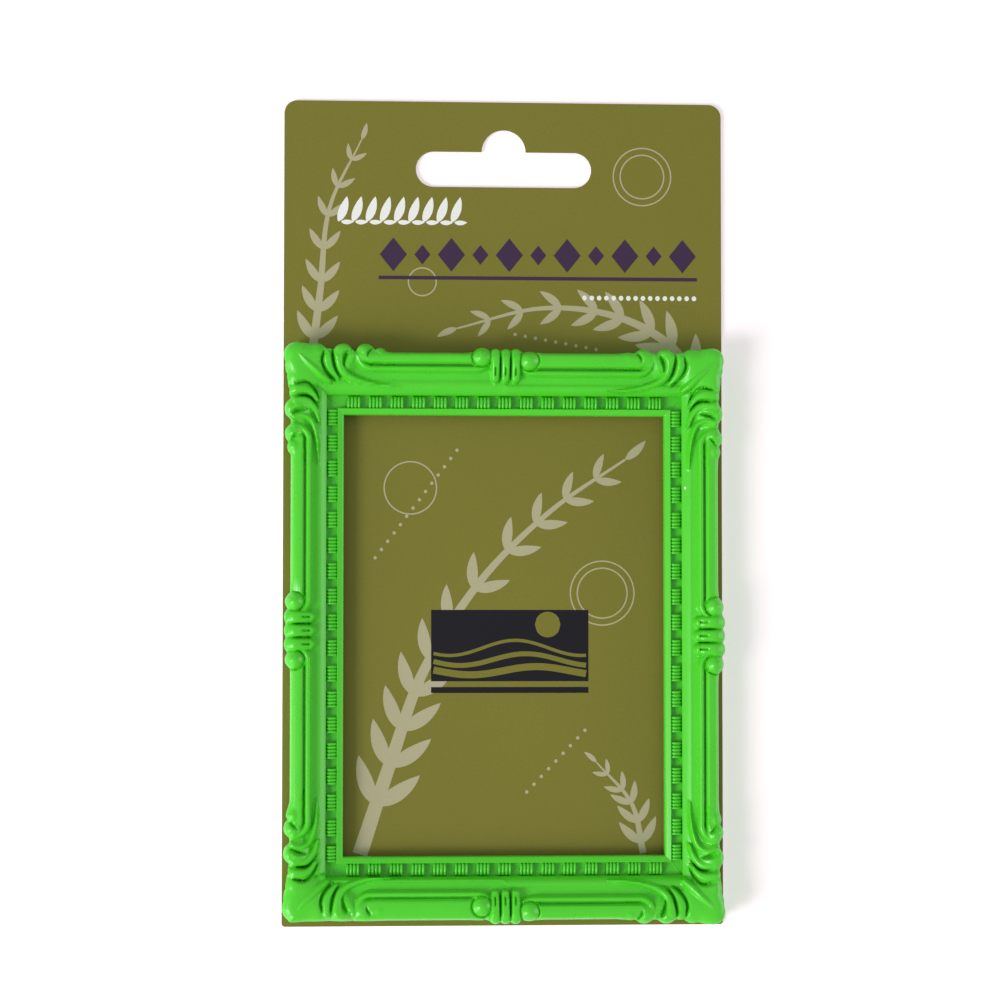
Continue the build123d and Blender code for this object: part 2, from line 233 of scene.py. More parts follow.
# %% [markdown]
# ## Green plastic
# The frame is injection moulded in a bright grass green with a satin gloss. The colour hardly
# varies, the gloss does: a moulded skin has a faint orange peel, made here with a bump, and the
# roughness wanders a little. A few dust grains lie scattered over it.

# %% Green plastic
GREEN_DARK = linear(70, 201, 34)
GREEN_LIGHT = linear(84, 214, 45)
DUST = linear(225, 240, 215)


def green_plastic():
    """Satin green moulding plastic."""
    material, tree, shader = new_material("green_plastic")
    tone = add_mottle(tree, GREEN_DARK, GREEN_LIGHT, 90.0, 1500.0, 0.25)
    add_specks(tree, shader, tone, DUST, 260.0, 0.06, 0.05)
    vary_roughness(tree, shader, tone, 0.22, 0.34)
    add_bump(tree, shader, tone, "Value", 0.06, 0.0001)
    shader.inputs["IOR"].default_value = 1.49
    return material


plastic = green_plastic()
print("made", plastic.name)

# %% [markdown]
# ## Relief: the members of the rails
# A baroque rail is a row of members, counted here from the window outwards: lip, course, ovolo,
# cove, bead, groove and band. A member count m turns any place on the frame into its place in that
# row, and taking the larger count of the two rails makes the mitres at the corners by itself. The
# inner members are one profile over m, all the way round.
#
# On this frame the carving was not laid quite square on the two end rails: each quarter of it sits
# a little further in or out than the next, and the step shows at the middle of the rail. The ovolo
# and the band take up the difference.

# %% Members of the rails
HALF_WINDOW = (27.4, 37.5)
LIP, BEAD, GROOVE, BAND = 1.1, 1.0, 0.3, 2.25
END_COURSE, END_OVOLO, END_COVE = 2.25, 2.25, 1.35
SIDE_COURSE, SIDE_OVOLO, SIDE_COVE = 1.85, 1.45, 1.05
END_MEMBERS = (0, LIP, END_COURSE, END_OVOLO, END_COVE, BEAD, GROOVE, BAND)
SIDE_STEPS = np.cumsum((0, LIP, SIDE_COURSE, SIDE_OVOLO, SIDE_COVE, BEAD, GROOVE, BAND))
OUTER_X = HALF_WINDOW[0] + SIDE_STEPS[-1]
OUTER_Y = HALF_WINDOW[1] + sum(END_MEMBERS)
MEMBERS = np.arange(len(END_MEMBERS))
TOP_SHIFTS, BOTTOM_SHIFTS = (0.25, -0.45), (-1.4, -0.45)
COURSE_Z, STEP_Z, CREASE_Z, OUTER_Z = 2.0, 3.25, 4.25, 5.55
LIP_PROFILE = ((0, 0.1, 0.3, 0.9, 0.98, 1.03, 1.97, 2),
               (2.48, 2.68, 2.8, 3.06, 3.01, COURSE_Z, COURSE_Z, STEP_Z))
END_HUMP, SIDE_HUMP = 2.3, 0.5


def eased(share):
    """Share from 0 to 1 with a soft start and end."""
    share = np.clip(share, 0, 1)
    return share * share * (3 - 2 * share)


def end_shift(x, y):
    """How far out the carving of the end rails sits at a place."""
    share = eased(0.5 + x / 1.2)
    shifts = np.where(y[..., None] > 0, TOP_SHIFTS, BOTTOM_SHIFTS)
    return shifts[..., 0] + (shifts[..., 1] - shifts[..., 0]) * share


def end_place(count, shift):
    """Distance of a member's edge from the window on an end rail."""
    steps = np.cumsum(END_MEMBERS)
    place = np.interp(count, MEMBERS, steps)
    return place + shift * np.interp(count, (2, 3, 6, 7), (0, 1, 1, 0))


def member_counts(x, y):
    """Member counts of a place by the side rail and by the end rail."""
    side = np.interp(np.abs(x) - HALF_WINDOW[0], SIDE_STEPS, MEMBERS)
    shift = end_shift(x, y)
    up = np.abs(y) - HALF_WINDOW[1]
    end = np.zeros(x.shape)
    for count in MEMBERS[:-1]:
        start, stop = end_place(count, shift), end_place(count + 1, shift)
        end = end + np.clip((up - start) / (stop - start), 0, 1)
    return side, end


def inner_members(count, hump):
    """Height of the lip, the course, the ovolo and the cove that climbs to the outer edge."""
    height = np.interp(count, *LIP_PROFILE)
    ovolo = np.clip(count - 2, 0, 1)
    height = np.where(count > 2, STEP_Z + (CREASE_Z - STEP_Z) * ovolo + hump * ovolo * (1 - ovolo), height)
    cove = np.clip((count - 3) / 4, 0, 1)
    return np.where(count > 3, CREASE_Z + (OUTER_Z - CREASE_Z) * cove ** 1.35, height)


print("rails reach", round(OUTER_X, 2), "and", round(OUTER_Y, 2), "mm from the middle")

# %% [markdown]
# ## Relief: strokes
# A carver works along lines, so the ornament is drawn with strokes: a smooth line through a few
# points, where each point holds its place, half its width and its height. Raised strokes join the
# surface with a rounded greatest value, cut strokes are taken off it. A knob is a stroke of one
# point.

# %% Strokes, cuts and knobs


def higher(first, second, soft):
    """Greater of two heights, with a rounded join."""
    share = np.clip(0.5 + 0.5 * (first - second) / soft, 0, 1)
    return second + (first - second) * share + soft * share * (1 - share)


def flowing(points, steps=6):
    """Smooth line through the points."""
    rows = np.array(points, float)
    rows = np.vstack([2 * rows[0] - rows[1], rows, 2 * rows[-1] - rows[-2]])
    t = np.linspace(0, 1, steps, endpoint=False)[:, None]
    line = []
    for before, start, end, after in zip(rows, rows[1:], rows[2:], rows[3:]):
        bend = 2 * before - 5 * start + 4 * end - after
        line.append(0.5 * (2 * start + (end - before) * t + bend * t ** 2
                           + (3 * start - before - 3 * end + after) * t ** 3))
    return np.vstack(line + [rows[-2][None]])


def stroke(u, v, points):
    """Distance to a stroke, as a share of its half width, and the stroke's height there."""
    near = np.full(u.shape, np.inf)
    width = np.ones(u.shape)
    height = np.zeros(u.shape)
    line = flowing(points)
    for start, end in zip(line, line[1:]):
        run = end - start
        t = np.clip(((u - start[0]) * run[0] + (v - start[1]) * run[1]) / (run[0] ** 2 + run[1] ** 2), 0, 1)
        away = np.hypot(u - start[0] - t * run[0], v - start[1] - t * run[1])
        closer = away < near
        near = np.where(closer, away, near)
        width = np.where(closer, start[2] + t * run[2], width)
        height = np.where(closer, start[3] + t * run[3], height)
    return near / width, height


def raise_stroke(height, u, v, points, fall, soft, power=2):
    """Height with a raised stroke; its flanks fall by the given amount at half its width."""
    near, crest = stroke(u, v, points)
    return np.where(near < 2.5, higher(height, crest - fall * near ** power, soft), height)


def cut_stroke(height, u, v, points):
    """Height with a groove along a stroke."""
    near, depth = stroke(u, v, points)
    return height - depth * np.exp(-1.2 * near ** 2 - 0.4 * near ** 4)


def raise_knob(height, u, v, place, crest, fall, soft):
    """Height with a round knob; the place holds its two coordinates and its radius."""
    far = np.hypot(u - place[0], v - place[1]) / place[2]
    return np.where(far < 2.2, higher(height, crest - fall * far ** 2, soft), height)


print("strokes ready")

# %% [markdown]
# ## Relief: bands with turned beads
# Between the corner leaf and the shell at the middle, each half rail has a flat band with a fine
# groove and a bead round it, and the bead turns up at both ends like a hook. All three follow from
# one number: the distance to a long panel with rounded inner corners.

# %% Band, groove and bead
BAND_Z, BEAD_Z, GROOVE_Z = 6.3, 6.0, 4.9
END_TILT, SIDE_TILT = 0.0, 0.5
END_PANEL = (12.15, OUTER_X - 3.5)
SIDE_PANEL = (13.7, OUTER_Y - 4.4)
HOOK_TURN, SHELL_TURN = 1.6, 1.3


def panel_distance(along, inset, panel, width):
    """Distance to the band of half a rail, below zero on it."""
    start, stop = panel

    def rounded(beyond, turn):
        p = beyond + turn
        q = inset - width + turn
        return np.minimum(np.maximum(p, q), 0) + np.hypot(np.maximum(p, 0), np.maximum(q, 0)) - turn

    first_half = along < (start + stop) / 2
    return np.where(first_half, rounded(start - along, HOOK_TURN), rounded(along - stop, SHELL_TURN))


def banded(height, along, inset, panel, width, tilt):
    """Height with the band, the groove and the bead of half a rail; the band falls outwards by the tilt."""
    far = panel_distance(along, inset, panel, width)
    bead = BEAD_Z - 0.6 * np.abs((far - GROOVE - BEAD / 2) / (BEAD / 2)) ** 3
    height = np.where((far > GROOVE) & (far < 2 * BEAD), higher(height, bead, 0.12), height)
    height = np.where((far > 0) & (far <= GROOVE), GROOVE_Z, height)
    share = np.clip(inset / width, -0.3, 1)
    band = BAND_Z - tilt * (1 - share) - (1 - tilt) * (share - 0.45) ** 2 - 0.5 * (1 - eased(-far / 0.4))
    return np.where(far <= 0, band, height)


print("band panels:", [round(value, 1) for value in END_PANEL + SIDE_PANEL])

# %% [markdown]
# ## Relief: corner leaf
# Each corner carries an acanthus leaf that points outwards, with a rib, and beside it on both rails
# a frond, a scroll with an eye and a tongue, and the round head of the hook. The tables hold the
# points of the strokes: place along the rail and in from its edge, both from the outer corner, then
# half width and height or depth.

# %% Corner leaf
LEAF = ((0.0, 0.3, 3.2, 6.75), (2.0, 2.0, 3.1, 6.6), (3.5, 3.5, 2.5, 6.2), (4.6, 4.6, 1.7, 5.5),
        (5.4, 5.4, 1.1, 4.7))
RIB = ((1.15, 0.3, 0.22, 6.7), (2.4, 1.75, 0.27, 6.98), (3.7, 2.9, 0.28, 6.88), (5.15, 4.3, 0.28, 6.3),
       (6.3, 5.2, 0.22, 5.6))
END_STROKES = {
    "frond": ((6.35, -0.2, 0.72, 6.45), (6.2, 1.4, 0.75, 6.35), (6.4, 2.5, 0.7, 6.1), (7.0, 3.6, 0.5, 5.7),
              (7.95, 4.7, 0.25, 5.1)),
    "scroll": ((10.0, 0.3, 0.5, 6.2), (9.75, -0.3, 0.6, 6.4), (8.9, -0.6, 0.7, 6.6), (8.05, -0.15, 0.75, 6.65),
               (7.95, 0.85, 0.75, 6.5), (8.15, 2.05, 0.7, 6.3), (8.65, 3.35, 0.62, 5.9), (9.75, 4.35, 0.55, 5.55),
               (11.45, 5.05, 0.5, 5.25), (13.65, 5.6, 0.45, 5.0), (16.2, 5.9, 0.38, 4.8), (18.6, 6.05, 0.3, 4.5)),
    "tongue": ((10.75, -0.15, 0.7, 6.4), (10.4, 1.05, 0.6, 6.2), (9.9, 2.35, 0.4, 5.8), (9.65, 3.15, 0.2, 5.3)),
}
END_CUTS = {
    "leaf_edge": ((5.5, 0.2, 0.2, 0.4), (5.4, 0.85, 0.26, 1.0), (5.25, 1.65, 0.28, 1.3), (5.48, 2.7, 0.27, 1.2),
                  (6.1, 3.72, 0.24, 0.9), (7.05, 4.67, 0.18, 0.5), (7.8, 5.3, 0.12, 0.1)),
    "frond_edge": ((7.0, 0.2, 0.2, 0.4), (7.05, 1.05, 0.26, 1.0), (7.25, 2.15, 0.26, 1.2), (7.5, 3.0, 0.24, 0.9),
                   (7.9, 3.75, 0.18, 0.6), (8.55, 4.5, 0.12, 0.1)),
    "eye": ((9.6, 0.3, 0.38, 0.9), (9.2, 0.95, 0.48, 1.5), (8.95, 2.15, 0.26, 0.8), (9.0, 2.75, 0.15, 0.3)),
    "hook_eye": ((13.5, -0.2, 0.3, 0.6), (13.05, 0.4, 0.25, 0.8), (12.95, 1.0, 0.2, 0.3)),
}
END_KNOBS = {"petal": (4.35, 0.6, 1.9), "scroll": (8.8, 0.35, 1.75),
             "hook": (12.3, 0.1, 1.55), "stop": (15.0, 0.3, 1.0)}
SIDE_STROKES = {
    "frond": ((6.75, -0.05, 0.8, 6.4), (6.6, 1.45, 0.8, 6.35), (6.7, 2.55, 0.72, 6.1), (7.3, 3.55, 0.5, 5.7),
              (8.45, 4.4, 0.3, 5.2)),
    "scroll": ((11.15, 0.5, 0.5, 6.2), (11.0, -0.1, 0.6, 6.4), (10.1, -0.35, 0.7, 6.6), (9.0, -0.2, 0.75, 6.65),
               (8.5, 0.65, 0.75, 6.5), (8.45, 1.65, 0.72, 6.3), (8.7, 2.75, 0.65, 5.95), (9.4, 3.6, 0.55, 5.6),
               (10.5, 4.3, 0.42, 5.25), (12.0, 4.75, 0.28, 4.9)),
    "tongue": ((11.4, 0.2, 0.7, 6.4), (11.05, 1.4, 0.6, 6.2), (11.2, 2.5, 0.52, 5.95), (11.95, 3.45, 0.47, 5.6),
               (13.6, 4.1, 0.44, 5.35), (15.6, 4.45, 0.4, 5.1), (17.6, 4.6, 0.32, 4.8), (19.2, 4.65, 0.25, 4.5)),
}
SIDE_CUTS = {
    "leaf_edge": ((5.75, 0.7, 0.2, 0.4), (5.6, 1.3, 0.26, 1.0), (5.4, 2.2, 0.28, 1.3), (5.6, 3.05, 0.27, 1.2),
                  (6.5, 3.9, 0.24, 0.9), (7.45, 4.43, 0.18, 0.5), (8.4, 4.85, 0.12, 0.1)),
    "frond_edge": ((7.85, 0.9, 0.2, 0.4), (7.75, 1.6, 0.26, 1.0), (7.65, 2.5, 0.26, 1.2), (8.05, 3.45, 0.22, 0.9),
                   (8.9, 4.1, 0.18, 0.5), (9.65, 4.65, 0.12, 0.1)),
    "eye": ((10.6, 0.5, 0.35, 0.8), (10.25, 1.15, 0.42, 1.4), (9.95, 2.25, 0.3, 0.9), (9.85, 2.95, 0.15, 0.2)),
    "hook_eye": ((15.1, 0.3, 0.28, 0.5), (14.5, 0.75, 0.3, 0.9), (14.1, 1.2, 0.22, 0.4)),
}
SIDE_KNOBS = {"petal": (4.3, 0.7, 1.8), "scroll": (9.7, 0.45, 1.7),
              "hook": (13.9, 0.2, 1.45), "stop": (16.3, 0.3, 1.1)}
KNOB_CRESTS = {"petal": (6.5, 0.4, 0.6), "scroll": (6.5, 0.5, 0.3),
               "hook": (6.55, 0.6, 0.3), "stop": (6.4, 0.5, 0.3)}
STROKE_TOPS = {"frond": (0.5, 0.1, 4), "scroll": (0.6, 0.15, 3), "tongue": (0.7, 0.1, 2)}
LEAF_TOP, RIB_TOP = (0.9, 0.35, 4), (0.19, 0.03, 1.5)


def carve_corner(height, along, inset, strokes, cuts, knobs):
    """Height with the carving of one rail's end."""
    for name, place in knobs.items():
        height = raise_knob(height, along, inset, place, *KNOB_CRESTS[name])
    for name, points in strokes.items():
        height = raise_stroke(height, along, inset, points, *STROKE_TOPS[name])
    for points in cuts.values():
        height = cut_stroke(height, along, inset, points)
    return height


print("corner strokes:", 2 + len(END_STROKES) + len(END_CUTS) + len(SIDE_STROKES) + len(SIDE_CUTS))

# %% [markdown]
# ## Relief: shells
# The middle of each rail has a shell of three flutes, like fingers laid over the moulding, between
# two balls. The places are measured along the rail from its middle.

# %% Shells
END_FLUTES = (0.0, 1.73)
SIDE_FLUTES = (0.0, 2.3)
END_FLUTE = ((0.1, 0.86, 6.6), (0.9, 0.82, 6.7), (2.2, 0.78, 6.55), (3.5, 0.76, 6.2), (4.4, 0.72, 5.75))
SIDE_FLUTE = ((-0.1, 1.25, 6.55), (0.7, 1.16, 6.7), (1.6, 1.06, 6.6), (2.7, 1.04, 6.3), (3.2, 1.0, 6.0))
END_NICK = ((2.7, 0.16, 0.6), (3.8, 0.16, 0.6))
SIDE_NICK = ((2.1, 0.16, 0.6), (3.2, 0.16, 0.6))
END_GAP = ((0.7, 0.13, 0.3), (1.3, 0.16, 0.7), (3.9, 0.16, 0.7))
SIDE_GAP = ((0.6, 0.13, 0.3), (1.1, 0.17, 0.8), (3.1, 0.17, 0.8))
END_BALL = (4.0, 0.95, 1.6)
SIDE_BALL = (4.9, 0.65, 1.55)
BALL_TOP, FLUTE_TOP = (6.95, 0.9, 0.05), (0.8, 0.03, 5)
CREASE_DEPTH, CREASE_PLACE, CREASE_WIDTH = 0.5, 1.08, 0.09


def carve_ball(height, along, inset, ball):
    """Height with a ball and the crease round its foot."""
    height = raise_knob(height, along, inset, ball, *BALL_TOP)
    far = np.hypot(along - ball[0], inset - ball[1]) / ball[2]
    return height - CREASE_DEPTH * np.exp(-((far - CREASE_PLACE) / CREASE_WIDTH) ** 2)


def carve_flutes(height, along, inset, places, flute, nick, gap):
    """Height with half a shell's flutes, the slot in each and the gap between two."""
    for place in places:
        height = raise_stroke(height, along, inset, [(place, *row) for row in flute], *FLUTE_TOP)
        height = cut_stroke(height, along, inset, [(place, *row) for row in nick])
    return cut_stroke(height, along, inset, [(places[1] / 2, *row) for row in gap])


# %% [markdown]
# Now all of it comes together. The corner leaves and the balls of the end rails count from the edge of
# the carving, the flutes and the balls of the side rails from the edge of the rail. The shells of the
# two side rails are off the middle, and the leaves on the right have their rib nearer to the side.

# %% The whole carving
LEFT_SHELL, RIGHT_SHELL = 0.8, -0.1
RIGHT_SHIFT = -0.3
RIGHT_RIB = (0.5, -0.7)
MITRE_ROUND = 1.4


def ornament_places(x, y):
    """Distances of a place from the edges of the carving, and along the rails from the shells."""
    from_side = OUTER_X + np.where(x > 0, RIGHT_SHIFT, 0) - np.abs(x)
    from_end = OUTER_Y + end_shift(x, y) - np.abs(y)
    along_side = np.abs(y - np.where(x > 0, RIGHT_SHELL, LEFT_SHELL))
    return from_side, from_end, np.abs(x), along_side


def carved(x, y):
    """Height of the carved front."""
    side, end = member_counts(x, y)
    count = higher(side, end, 0.01 + MITRE_ROUND * eased((np.maximum(side, end) - 2) / 0.6))
    plain = inner_members(count, np.where(end > side, END_HUMP, SIDE_HUMP))
    side_inset, end_inset = OUTER_X - np.abs(x), OUTER_Y - np.abs(y)
    from_side, from_end, along_end, along_side = ornament_places(x, y)
    end_band = banded(plain, side_inset, end_inset, END_PANEL, BAND - end_shift(x, y), END_TILT)
    side_band = banded(plain, from_end, side_inset, SIDE_PANEL, BAND, SIDE_TILT)
    height = np.where(end >= side, end_band, side_band)
    height = raise_stroke(height, from_side, from_end, LEAF, *LEAF_TOP)
    height = carve_corner(height, from_side, from_end, END_STROKES, END_CUTS, END_KNOBS)
    height = carve_corner(height, from_end, from_side, SIDE_STROKES, SIDE_CUTS, SIDE_KNOBS)
    right = np.where(x > 0, 1, 0)
    rib_side, rib_end = from_side + right * RIGHT_RIB[0], from_end + right * RIGHT_RIB[1]
    height = raise_stroke(height, rib_side, rib_end, RIB, *RIB_TOP)
    height = carve_ball(height, along_end, from_end, END_BALL)
    height = carve_ball(height, along_side, side_inset, SIDE_BALL)
    height = carve_flutes(height, along_end, end_inset, END_FLUTES, END_FLUTE, END_NICK, END_GAP)
    height = carve_flutes(height, along_side, side_inset, SIDE_FLUTES, SIDE_FLUTE, SIDE_NICK, SIDE_GAP)
    return np.where(count < 1.995, plain, height)


tip = carved(np.array([OUTER_X - 0.5]), np.array([OUTER_Y - 0.5]))
print("height near the tip of a leaf:", tip.round(2))

# %% [markdown]
# ## Relief: outline
# The lobes of the leaf and the balls stand out over the straight edge, so the outline is a union of
# circles with the rectangle of the rails. The same distance to the outline rounds the edge over.

# %% Outline
END_LOBES = ((0.85, 0.7, 2.05), (2.3, 1.0, 2.2), (4.4, 0.55, 1.7), (6.5, 0.6, 0.85), (8.85, 0.5, 1.7),
             (12.6, 0.35, 1.55), (15.1, 0.5, 0.95))
SIDE_LOBES = ((2.6, 0.9, 1.9), (4.5, 0.75, 1.4), (5.6, 0.65, 1.15), (7.2, 0.75, 1.0), (9.9, 0.6, 1.65),
              (14.1, 0.5, 1.5), (16.4, 0.5, 1.1))
END_SHELL = ((0.0, 0.4, 1.05), (1.73, 0.4, 1.05))
SIDE_SHELL = ((0.0, 0.75, 1.8), (2.3, 0.75, 1.8))
RAIL_ROUND, LOBE_ROUND, EDGE_DROP = 0.75, 1.9, 1.6
LOBE_SOFT, EDGE_SOFT = 0.4, 1.5


def depth_inside(x, y, soft):
    """Distance in from the outline, below zero outside it; the softer, the more the lobes flow together."""
    side_inset, end_inset = OUTER_X - np.abs(x), OUTER_Y - np.abs(y)
    depth = np.minimum(side_inset, end_inset)
    from_side, from_end, along_end, along_side = ornament_places(x, y)
    rounds = ((from_side, from_end, END_LOBES), (from_end, from_side, SIDE_LOBES),
              (along_end, from_end, (END_BALL,)), (along_side, side_inset, (SIDE_BALL,)),
              (along_end, end_inset, END_SHELL), (along_side, side_inset, SIDE_SHELL))
    for along, inset, lobes in rounds:
        for place, inward, radius in lobes:
            depth = higher(depth, radius - np.hypot(along - place, inset - inward), soft)
    return depth


def front_height(x, y):
    """Height of the finished front above the back of the frame."""
    depth = depth_inside(x, y, EDGE_SOFT)
    overhang = depth - np.minimum(OUTER_X - np.abs(x), OUTER_Y - np.abs(y))
    edge = 1 - np.clip(depth / (RAIL_ROUND + (LOBE_ROUND - RAIL_ROUND) * eased(overhang / 0.7)), 0, 1)
    return carved(x, y) - EDGE_DROP * (1 - np.sqrt(1 - edge ** 2))


print("lobes per corner:", len(END_LOBES) + len(SIDE_LOBES))

# %% [markdown]
# ## Relief: the moulding as one closed ring
# The whole moulding is one grid, wrapped like a tyre: its columns run round the frame, closely set
# where there is carving, and its rows run from the window over the front to the outline, down the
# outer wall and back through the hollow underside. Two merges close it: first column to last, and
# first row to last. Every vertex then takes its place from the formulas above.

# %% Columns and rows of the moulding
FINE_STEP, SHELL_STEP, SHELL_REACH, CORNER_REACH, PLAIN_STEP = 0.165, 0.15, 7.6, 18.6, 1.4


def column_places(half_length):
    """Places along half a rail, from its middle to the corner."""
    plain_end = half_length - CORNER_REACH
    shell_part = np.linspace(0, SHELL_REACH, round(SHELL_REACH / SHELL_STEP))
    plain_part = np.linspace(SHELL_REACH, plain_end, round((plain_end - SHELL_REACH) / PLAIN_STEP) + 1)
    corner_part = np.linspace(plain_end, half_length, round(CORNER_REACH / FINE_STEP))
    half = np.concatenate([shell_part, plain_part[1:], corner_part[1:]])
    return np.concatenate([-half[:0:-1], half[:-1]]) / half_length


end_columns = column_places(OUTER_X)
side_columns = column_places(OUTER_Y)
sides = [(end_columns, (1, 0), (0, 1)), (side_columns, (0, -1), (1, 0)),
         (end_columns, (-1, 0), (0, -1)), (side_columns, (0, 1), (-1, 0))]
column_share = np.concatenate([columns for columns, along, out in sides])
column_along = np.concatenate([np.tile(along, (len(columns), 1)) for columns, along, out in sides])
column_out = np.concatenate([np.tile(out, (len(columns), 1)) for columns, along, out in sides])

FRONT_COUNTS = np.array([0, 0.1, 0.3, 0.9, 0.98, 1.03, 1.97, 2.0, 2.08, 2.2, 2.35, 2.5, 2.65, 2.8, 2.92, 3.0])
COVE_INSETS = np.linspace(4.6, 3.65, 7)
TRIM_INSETS = np.array([3.55, 3.4, 3.25, 3.1, 2.95, 2.8, 2.68, 2.58, 2.55, 2.52, 2.28, 2.25, 2.22,
                        2.1, 1.95, 1.8, 1.65, 1.5, 1.35, 1.2, 1.05, 0.9, 0.75, 0.62, 0.5, 0.39,
                        0.29, 0.2, 0.12, 0.06, 0.02, 0.0])
STRETCHED_FROM = 2.95
print("columns:", len(column_share), "front rows:", len(FRONT_COUNTS) + len(COVE_INSETS) + len(TRIM_INSETS))

# %% [markdown]
# The back of the moulding is a handful of rows: the foot of the outer wall, the rim, the hollow with
# a sloping ceiling, the inner wall and the rebate that the photo print lies in.

# %% Shape of the ring
WALL, INNER_WALL, REBATE, REBATE_DEPTH = 1.4, 1.2, 2.8, 0.9
HOLLOW_INNER_Z, HOLLOW_OUTER_Z = 2.6, 4.2
OUTLINE_SEARCH = np.linspace(0, 2.4, 61)
WALL_BEND, FOOT = 1.6, 0.15


def ring_place(x_half, y_half):
    """Places of one row: each column's share along its rail, on a rectangle of the given half sizes."""
    along_half = np.where(column_along[:, 0] != 0, x_half, y_half)
    out_half = np.where(column_along[:, 0] != 0, y_half, x_half)
    place = column_along * (column_share * along_half)[:, None] + column_out * out_half[:, None]
    return place[:, 0], place[:, 1]


def outline_reach():
    """How far the outline stands over the rails at each column."""
    reach = np.zeros(len(column_share))
    for step in OUTLINE_SEARCH:
        x, y = ring_place(OUTER_X + step + 0 * column_share, OUTER_Y + step + 0 * column_share)
        reach = np.where(depth_inside(x, y, LOBE_SOFT) >= 0, step, reach)
    for again in range(4):
        x, y = ring_place(OUTER_X + reach, OUTER_Y + reach)
        reach = reach + np.maximum(depth_inside(x, y, LOBE_SOFT), 0)
    return reach


def ring_rows():
    """All rows of the ring, as X, Y and Z of every column."""
    reach = outline_reach()
    level = np.ones(len(column_share))
    shift = end_shift(*ring_place(OUTER_X * level, OUTER_Y * level))
    rows = []
    for count in FRONT_COUNTS:
        x, y = ring_place((HALF_WINDOW[0] + np.interp(count, MEMBERS, SIDE_STEPS)) * level,
                          HALF_WINDOW[1] + end_place(count, shift))
        rows.append((x, y, front_height(x, y)))
    for inset in np.concatenate([COVE_INSETS, TRIM_INSETS]):
        out = -inset + reach * np.clip((STRETCHED_FROM - inset) / STRETCHED_FROM, 0, 1)
        x, y = ring_place(OUTER_X + out, OUTER_Y + out + shift * min(inset / BAND, 1))
        rows.append((x, y, front_height(x, y)))
    for out, height in ((reach, WALL_BEND), (reach, FOOT), (reach - FOOT, 0), (-WALL, 0),
                        (-WALL, HOLLOW_OUTER_Z)):
        rows.append((*ring_place(OUTER_X + out * level, OUTER_Y + out * level), height * level))
    for out, height in ((REBATE + INNER_WALL, HOLLOW_INNER_Z), (REBATE + INNER_WALL, 0), (REBATE, 0),
                        (REBATE, REBATE_DEPTH), (0, REBATE_DEPTH)):
        x, y = ring_place((HALF_WINDOW[0] + out) * level, (HALF_WINDOW[1] + out) * level)
        rows.append((x, y, height * level))
    return np.array(rows + rows[:1])


def finish_piece(name, mesh_data, body, material, smooth_angle=None):
    """Object from a bmesh: shaded, on its body and material."""
    mesh = bpy.data.meshes.new(name)
    mesh_data.to_mesh(mesh)
    mesh_data.free()
    if smooth_angle:
        mesh.shade_smooth()
        mesh.set_sharp_from_angle(angle=radians(smooth_angle))
    piece = bpy.data.objects.new(name, mesh)
    bpy.context.scene.collection.objects.link(piece)
    mesh.materials.append(material)
    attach(piece, body)
    print(name, "has", len(mesh.polygons), "faces")
    return piece


def moulding():
    """The carved moulding."""
    rows = ring_rows()
    rows = np.concatenate([rows, rows[:, :, :1]], axis=2)
    row_count, axes, column_count = rows.shape
    ring = bmesh.new()
    bmesh.ops.create_grid(ring, x_segments=column_count - 1, y_segments=row_count - 1, size=0.5)
    for vertex in ring.verts:
        column = round((vertex.co.x + 0.5) * (column_count - 1))
        row = round((vertex.co.y + 0.5) * (row_count - 1))
        x, y, z = rows[row, :, column]
        vertex.co = ((MIDDLE_X + x) * MM, (MIDDLE_Y + y) * MM, (BACK_Z + z) * MM)
    bmesh.ops.remove_doubles(ring, verts=ring.verts, dist=1e-7)
    bmesh.ops.recalc_face_normals(ring, faces=ring.faces)
    piece = finish_piece("carved_moulding", ring, "frame", plastic, 40)
    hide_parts("frame_moulding")
    return piece


moulding()

# %% [markdown]
# ## Reeds
# On the sunken course between the lip and the ovolo stand small blocks of reeds, four ribs to a
# block along the ends and five along the sides. A rib is a cube that is stretched, arched down at its
# ends and rounded along its sides, both with bevels, and copies of it are set out along the four rails
# in one mesh. There are some three hundred, so one rib keeps to a few dozen faces.

# %% Reeds
END_REEDS = {"blocks": 15, "block_pitch": 3.68, "ribs": 4, "rib_pitch": 0.6, "reach": (38.5, 40.7)}
SIDE_REEDS = {"blocks": 18, "block_pitch": 4.35, "ribs": 5, "rib_pitch": 0.58, "reach": (28.4, 30.3)}
REED_WIDTH, REED_BOTTOM, REED_TOP, BASE_TOP, END_ROUND = 0.4, 1.9, 3.2, 2.8, 0.75
BASE_BEVEL, REED_BEVEL = 0.1, 0.16


def once(items):
    """Each item once, in the order it came."""
    return list(dict.fromkeys(items))


def round_off(reeds, bar, picked, offset, segments):
    """Bevel the picked edges of a bar and give back all its corners."""
    edges = once(edge for vertex in bar for edge in vertex.link_edges
                 if max(end.co.z for end in edge.verts) > REED_BOTTOM * MM + 1e-6 and picked(*edge.verts))
    made = bmesh.ops.bevel(reeds, geom=edges, offset=offset * MM, offset_type="OFFSET", affect="EDGES",
                           segments=segments, profile=0.5, material=-1)["verts"]
    return once([*made, *[vertex for vertex in bar if vertex.is_valid]])


